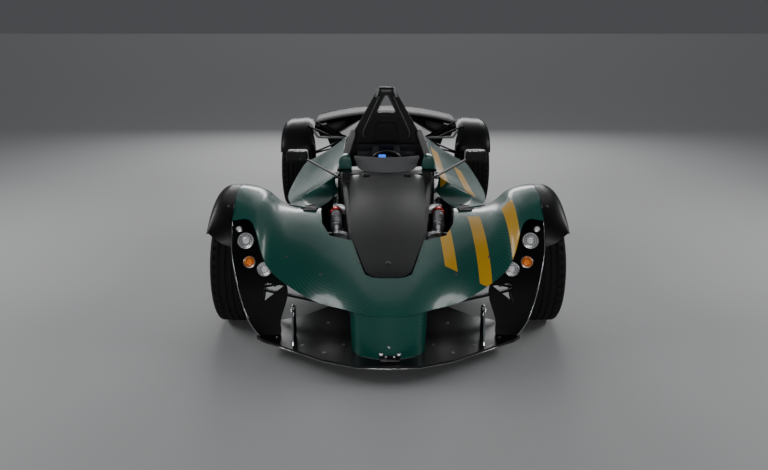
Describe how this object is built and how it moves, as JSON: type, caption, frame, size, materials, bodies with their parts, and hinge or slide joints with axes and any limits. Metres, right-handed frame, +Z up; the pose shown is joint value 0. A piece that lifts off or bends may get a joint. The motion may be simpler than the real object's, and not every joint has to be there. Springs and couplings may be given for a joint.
{
  "type": "open wheel racing car",
  "caption": "Low single-seat racing car with arched front clamshell, exposed wheels under caps, roll hoop, side pods and tail deck; it steers, its wheels roll and its nose hatch opens.",
  "frame": {"origin": "on the ground below the middle of the car's length and width", "axes": "+Z up, the front of the car towards -Y, +X to the driver's left"},
  "size_m": [1.776, 3.952, 1.11],
  "materials": {
    "carbon_green": "gloss clear coat over woven fibre",
    "satin_charcoal": "satin",
    "satin_black": "satin",
    "gloss_black": "gloss",
    "carbon_dark": "satin woven fibre",
    "tinted_screen": "gloss tinted",
    "tyre": "matte",
    "rim": "satin dark",
    "steel": "machined",
    "alloy": "satin",
    "engine_alloy": "cast",
    "lamp": "clear and chrome",
    "amber": "gloss",
    "red_lamp": "gloss",
    "seat": "matte"
  },
  "bodies": {
    "chassis": {"dashboard": "satin_black", "diffuser": "carbon_dark", "engine_block": "engine_alloy", "engine_cover": "satin_black", "exhaust": "steel", "floor_pan": "carbon_dark", "front_arch_left": "satin_black", "front_arch_right": "satin_black", "front_arms": "steel", "front_dampers": "alloy", "front_splitter": "gloss_black", "gearbox": "engine_alloy", "headlamps": "lamp", "headrest": "seat", "hoop_panel": "satin_black", "indicators": "amber", "lamp_panel_left": "gloss_black", "lamp_panel_right": "gloss_black", "mirrors": "gloss_black", "nose_cone": "carbon_green", "nose_shell": "carbon_green", "rear_arch_left": "satin_black", "rear_arch_right": "satin_black", "rear_arms": "steel", "rear_frame": "steel", "rear_lamps": "red_lamp", "rear_wing": "satin_black", "roll_hoop": "satin_black", "scuttle": "satin_black", "seat_shell": "seat", "side_pod_left": "carbon_green", "side_pod_right": "carbon_green", "tail_panel": "satin_black", "tub": "carbon_dark", "windscreen": "tinted_screen"},
    "hatch": {"hatch_lid": "satin_charcoal"},
    "steering_wheel": {"steering_wheel": "satin_black"},
    "rack": {"steering_rack": "steel"},
    "knuckle_left": {"knuckle_left": "alloy"},
    "front_wheel_left": {"front_tyre_left": "tyre", "front_rim_left": "rim", "front_disc_left": "steel"},
    "rear_wheel_left": {"rear_tyre_left": "tyre", "rear_rim_left": "rim", "rear_disc_left": "steel"},
    "knuckle_right": {"knuckle_right": "alloy"},
    "front_wheel_right": {"front_tyre_right": "tyre", "front_rim_right": "rim", "front_disc_right": "steel"},
    "rear_wheel_right": {"rear_tyre_right": "tyre", "rear_rim_right": "rim", "rear_disc_right": "steel"}
  },
  "joints": [
    {"name": "hatch_hinge", "type": "hinge", "parent": "chassis", "child": "hatch", "pos_m": [0, -0.533, 0.643], "axis": [-1, 0, 0], "range_deg": [0, 60]},
    {"name": "steer_left", "type": "hinge", "parent": "chassis", "child": "knuckle_left", "pos_m": [0.714, -1.201, 0.298], "axis": [0, 0, 1], "range_deg": [-18, 18]},
    {"name": "steer_right", "type": "hinge", "parent": "chassis", "child": "knuckle_right", "pos_m": [-0.714, -1.201, 0.298], "axis": [0, 0, 1], "range_deg": [-18, 18]},
    {"name": "rack_slide", "type": "slide", "parent": "chassis", "child": "rack", "axis": [1, 0, 0], "range_m": [-0.0356, 0.0356]},
    {"name": "steering_wheel_turn", "type": "hinge", "parent": "chassis", "child": "steering_wheel", "pos_m": [0, -0.201, 0.612], "axis": [0, 0.9703, 0.2419], "range_deg": [-109, 109]},
    {"name": "front_wheel_spin_left", "type": "hinge", "parent": "knuckle_left", "child": "front_wheel_left", "pos_m": [0.784, -1.201, 0.298], "axis": [1, 0, 0], "continuous": true},
    {"name": "front_wheel_spin_right", "type": "hinge", "parent": "knuckle_right", "child": "front_wheel_right", "pos_m": [-0.784, -1.201, 0.298], "axis": [1, 0, 0], "continuous": true},
    {"name": "rear_wheel_spin_left", "type": "hinge", "parent": "chassis", "child": "rear_wheel_left", "pos_m": [0.752, 1.364, 0.314], "axis": [1, 0, 0], "continuous": true},
    {"name": "rear_wheel_spin_right", "type": "hinge", "parent": "chassis", "child": "rear_wheel_right", "pos_m": [-0.752, 1.364, 0.314], "axis": [1, 0, 0], "continuous": true}
  ],
  "couplings": [
    {"joint": "steer_right", "follows": "steer_left", "ratio": 1},
    {"joint": "rack_slide", "follows": "steer_left", "m_per_rad": 0.112},
    {"joint": "steering_wheel_turn", "follows": "steer_left", "ratio": 6}
  ]
}
